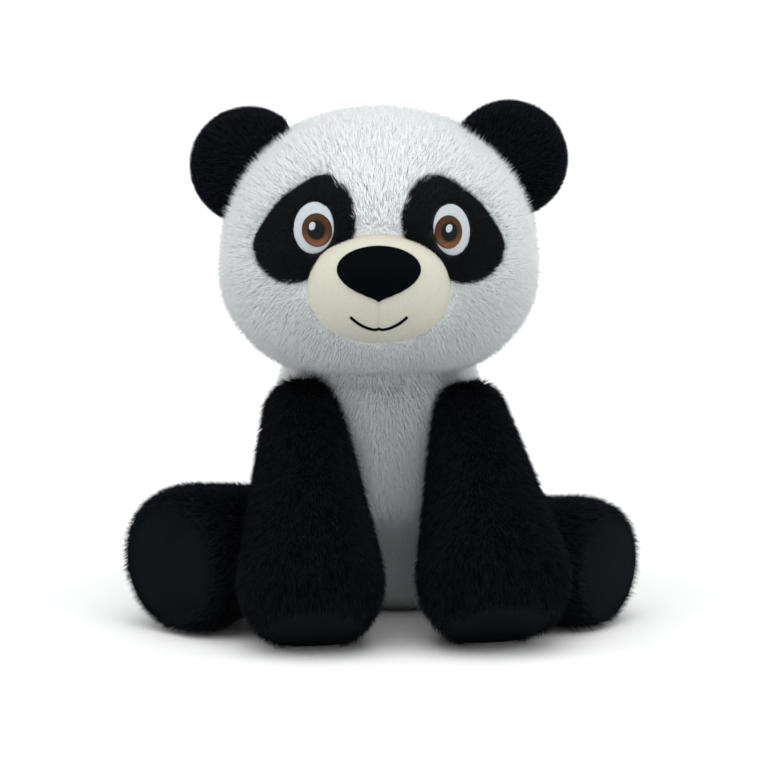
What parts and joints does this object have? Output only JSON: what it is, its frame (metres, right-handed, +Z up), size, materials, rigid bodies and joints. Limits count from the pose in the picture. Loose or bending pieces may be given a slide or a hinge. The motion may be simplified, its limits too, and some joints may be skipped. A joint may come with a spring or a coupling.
{
  "type": "plush panda",
  "caption": "Sitting plush panda with a round head, embroidered eyes, cream muzzle, round ears, flexing arms and legs with flat pads, and a flat seat.",
  "frame": {"origin": "middle of the flat seat, on the surface that the toy sits on", "axes": "+Z up, the face looks along -Y, +X is the toy's own left"},
  "size_m": [0.2353, 0.1919, 0.241],
  "materials": {
    "white_plush": "long soft pile",
    "black_plush": "long soft pile",
    "cream_minky": "short smooth pile",
    "black_velour": "short flat pile",
    "grey_velour": "short flat pile",
    "black_thread": "satin stitch",
    "white_thread": "satin stitch",
    "brown_thread": "satin stitch",
    "stuffing": "loose fibre",
    "pouch_cloth": "plain weave",
    "pellets": "smooth grains",
    "label_tape": "satin tape"
  },
  "bodies": {
    "torso": {"tummy_panel": "white_plush", "back_panel_left": "white_plush", "back_panel_right": "white_plush", "seat_panel": "white_plush", "torso_filling": "stuffing", "pellet_pouch": "pouch_cloth", "pouch_pellets": "pellets", "care_label": "label_tape"},
    "neck": {"neck_filling": "stuffing"},
    "head": {"forehead_gusset": "white_plush", "face_panel_left": "white_plush", "face_panel_right": "white_plush", "head_back_left": "white_plush", "head_back_right": "white_plush", "head_filling": "stuffing", "muzzle_cover": "cream_minky", "muzzle_filling": "stuffing", "nose": "black_thread", "mouth_stitching": "black_thread", "eye_patch_left": "grey_velour", "eye_white_left": "white_thread", "eye_iris_left": "brown_thread", "eye_pupil_left": "black_thread", "eye_glint_left": "white_thread", "eye_patch_right": "grey_velour", "eye_white_right": "white_thread", "eye_iris_right": "brown_thread", "eye_pupil_right": "black_thread", "eye_glint_right": "white_thread"},
    "tail": {"tail_cover": "white_plush", "tail_filling": "stuffing"},
    "ear_left": {"ear_front_left": "black_plush", "ear_back_left": "black_plush", "ear_wadding_left": "stuffing"},
    "arm_left": {"arm_front_left": "black_plush", "arm_back_left": "black_plush", "paw_pad_left": "black_velour", "arm_filling_left": "stuffing"},
    "leg_left": {"leg_top_left": "black_plush", "leg_under_left": "black_plush", "foot_sole_left": "black_velour", "leg_filling_left": "stuffing"},
    "ear_right": {"ear_front_right": "black_plush", "ear_back_right": "black_plush", "ear_wadding_right": "stuffing"},
    "arm_right": {"arm_front_right": "black_plush", "arm_back_right": "black_plush", "paw_pad_right": "black_velour", "arm_filling_right": "stuffing"},
    "leg_right": {"leg_top_right": "black_plush", "leg_under_right": "black_plush", "foot_sole_right": "black_velour", "leg_filling_right": "stuffing"}
  },
  "joints": [
    {"name": "neck_turn", "type": "hinge", "parent": "torso", "child": "neck", "pos_m": [0, -0.006, 0.114], "axis": [0, 0, 1], "range_deg": [-30, 30], "stiffness_Nm_per_rad": 1.2},
    {"name": "head_nod", "type": "hinge", "parent": "neck", "child": "head", "pos_m": [0, -0.006, 0.114], "axis": [-1, 0, 0], "range_deg": [-12, 12], "stiffness_Nm_per_rad": 1.6},
    {"name": "ear_fold_left", "type": "hinge", "parent": "head", "child": "ear_left", "pos_m": [0.05363, 0, 0.20868], "axis": [0.5592, 0, -0.829], "range_deg": [-12, 12], "stiffness_Nm_per_rad": 0.03},
    {"name": "ear_fold_right", "type": "hinge", "parent": "head", "child": "ear_right", "pos_m": [-0.05363, 0, 0.20868], "axis": [0.5592, 0, 0.829], "range_deg": [-12, 12], "stiffness_Nm_per_rad": 0.03},
    {"name": "arm_lift_left", "type": "hinge", "parent": "torso", "child": "arm_left", "pos_m": [0.038, -0.032, 0.094], "axis": [-0.9903, -0.0738, -0.118], "range_deg": [0, 55], "stiffness_Nm_per_rad": 0.12},
    {"name": "arm_lift_right", "type": "hinge", "parent": "torso", "child": "arm_right", "pos_m": [-0.038, -0.032, 0.094], "axis": [-1, 0, 0], "range_deg": [0, 55], "stiffness_Nm_per_rad": 0.12},
    {"name": "leg_spread_left", "type": "hinge", "parent": "torso", "child": "leg_left", "pos_m": [0.051, 0, 0.031], "axis": [0, 0, 1], "range_deg": [0, 20], "stiffness_Nm_per_rad": 0.3},
    {"name": "leg_spread_right", "type": "hinge", "parent": "torso", "child": "leg_right", "pos_m": [-0.051, 0, 0.031], "axis": [0, 0, -1], "range_deg": [0, 20], "stiffness_Nm_per_rad": 0.3},
    {"name": "tail_wag", "type": "hinge", "parent": "torso", "child": "tail", "pos_m": [0, 0.056, 0.028], "axis": [0, -0.342, 0.9397], "range_deg": [-15, 15], "stiffness_Nm_per_rad": 0.02}
  ]
}
